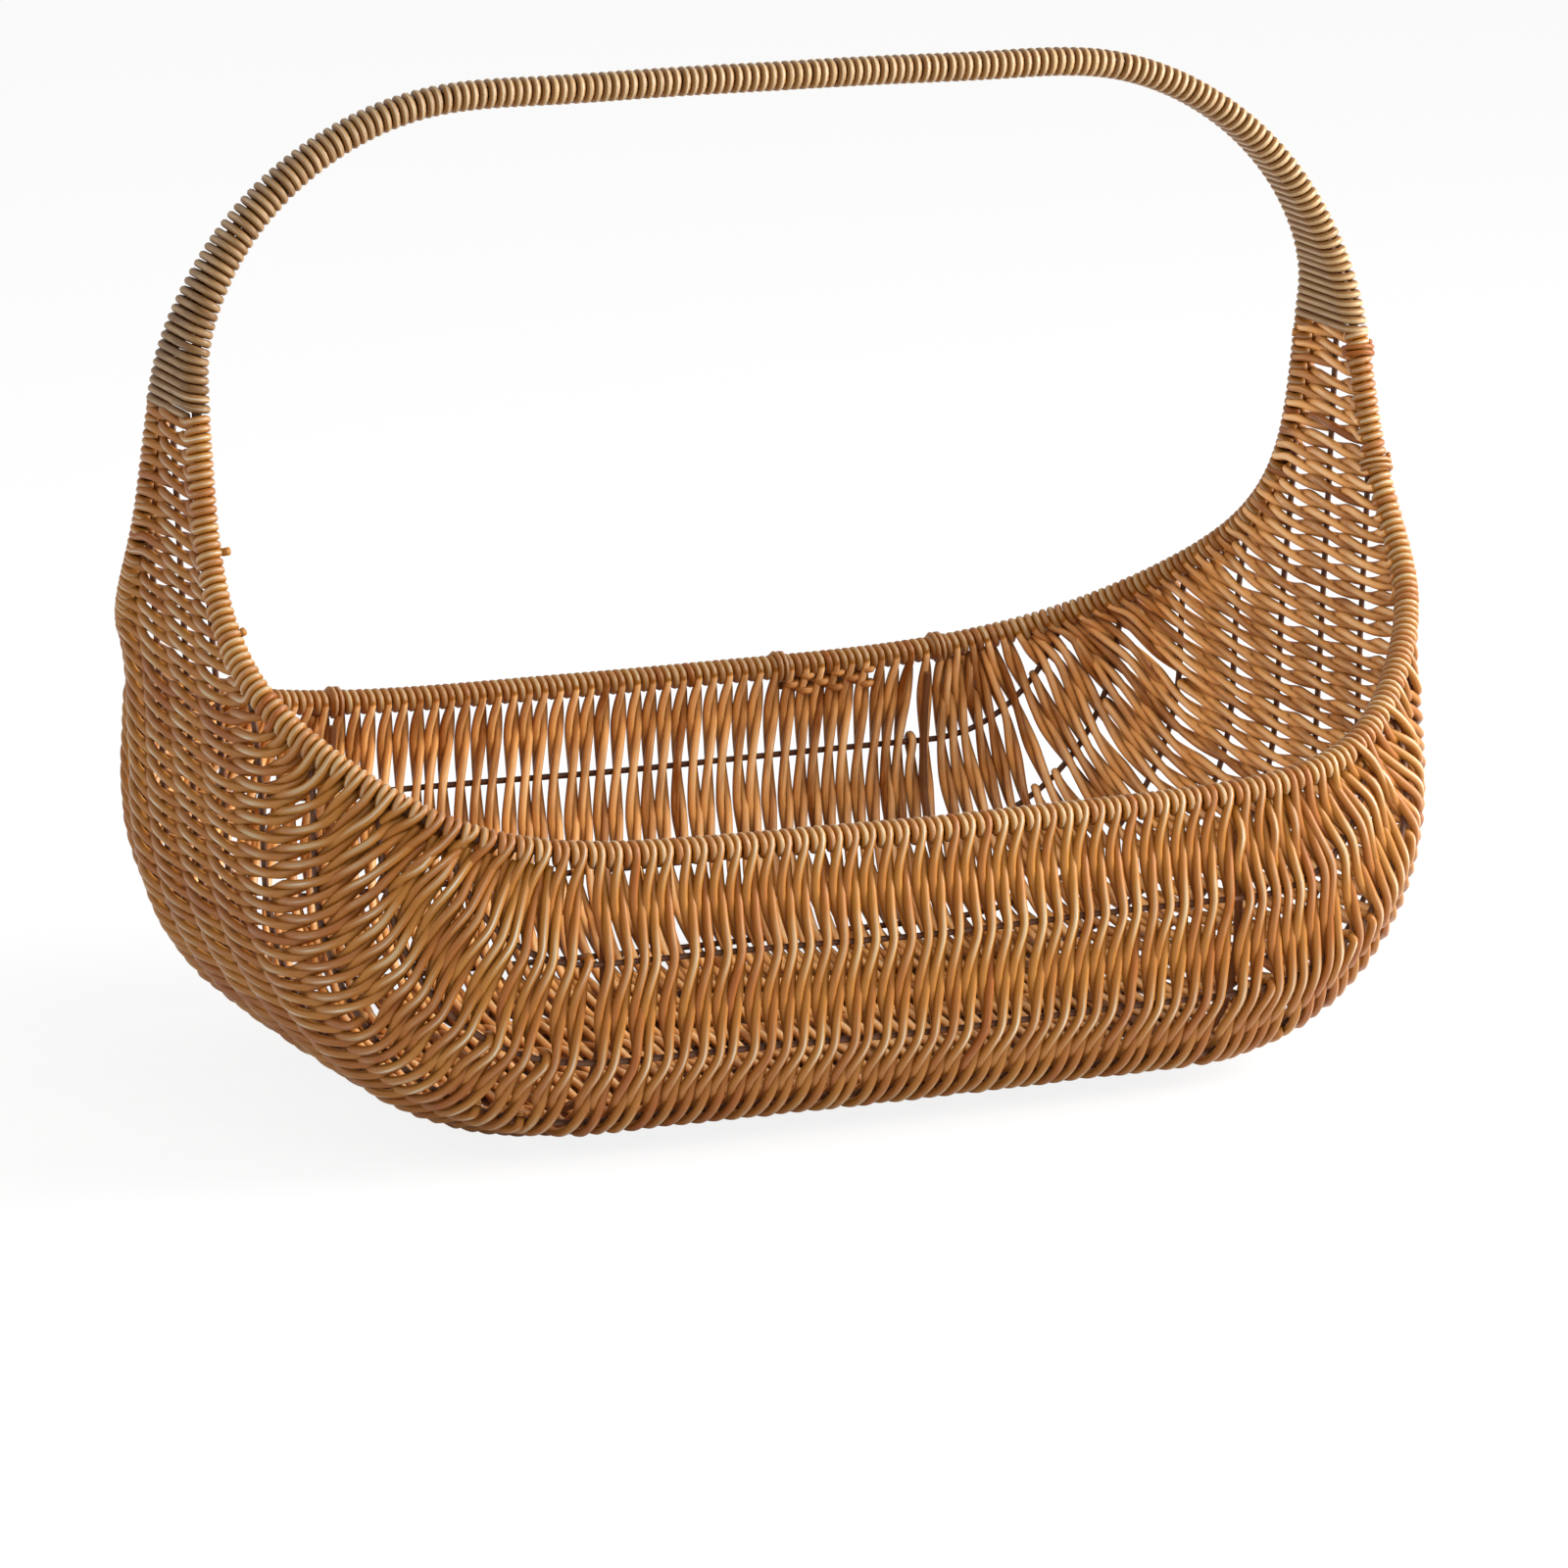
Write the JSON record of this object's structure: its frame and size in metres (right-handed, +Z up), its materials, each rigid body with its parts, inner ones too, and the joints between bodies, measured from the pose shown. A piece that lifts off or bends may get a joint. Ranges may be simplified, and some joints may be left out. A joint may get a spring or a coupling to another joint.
{
  "type": "woven basket with fixed handle",
  "caption": "Oval rattan basket on a wire frame, with a saddle-shaped wound rim and a fixed arched wound handle.",
  "frame": {"origin": "middle of the overall box at the flat underside that the basket stands on", "axes": "+Z up; X along the basket's length from foot to foot of the handle; -Y is the front rim, +Y the back rim"},
  "size_m": [0.4046, 0.2556, 0.3167],
  "materials": {
    "dark_wire": "dark brown lacquered steel wire, satin",
    "woven_rattan": "oiled round rattan core, golden brown",
    "wound_rattan": "paler round rattan core, lightly polished"
  },
  "bodies": {
    "root": {"hoop_front": "dark_wire", "hoop_back": "dark_wire", "rib_keel": "dark_wire", "rib_front_1": "dark_wire", "rib_front_2": "dark_wire", "rib_front_3": "dark_wire", "rib_front_4": "dark_wire", "rib_front_5": "dark_wire", "rib_back_1": "dark_wire", "rib_back_2": "dark_wire", "rib_back_3": "dark_wire", "rib_back_4": "dark_wire", "rib_back_5": "dark_wire", "frame_left": "dark_wire", "frame_right": "dark_wire", "weave_front_1": "woven_rattan", "weave_front_2": "woven_rattan", "weave_front_3": "woven_rattan", "weave_front_4": "woven_rattan", "weave_front_5": "woven_rattan", "weave_front_6": "woven_rattan", "weave_back_1": "woven_rattan", "weave_back_2": "woven_rattan", "weave_back_3": "woven_rattan", "weave_back_4": "woven_rattan", "weave_back_5": "woven_rattan", "weave_back_6": "woven_rattan", "rim_wrap_front": "wound_rattan", "rim_wrap_back": "wound_rattan", "handle_wrap": "wound_rattan", "winding_left": "wound_rattan", "winding_right": "wound_rattan"}
  },
  "joints": []
}
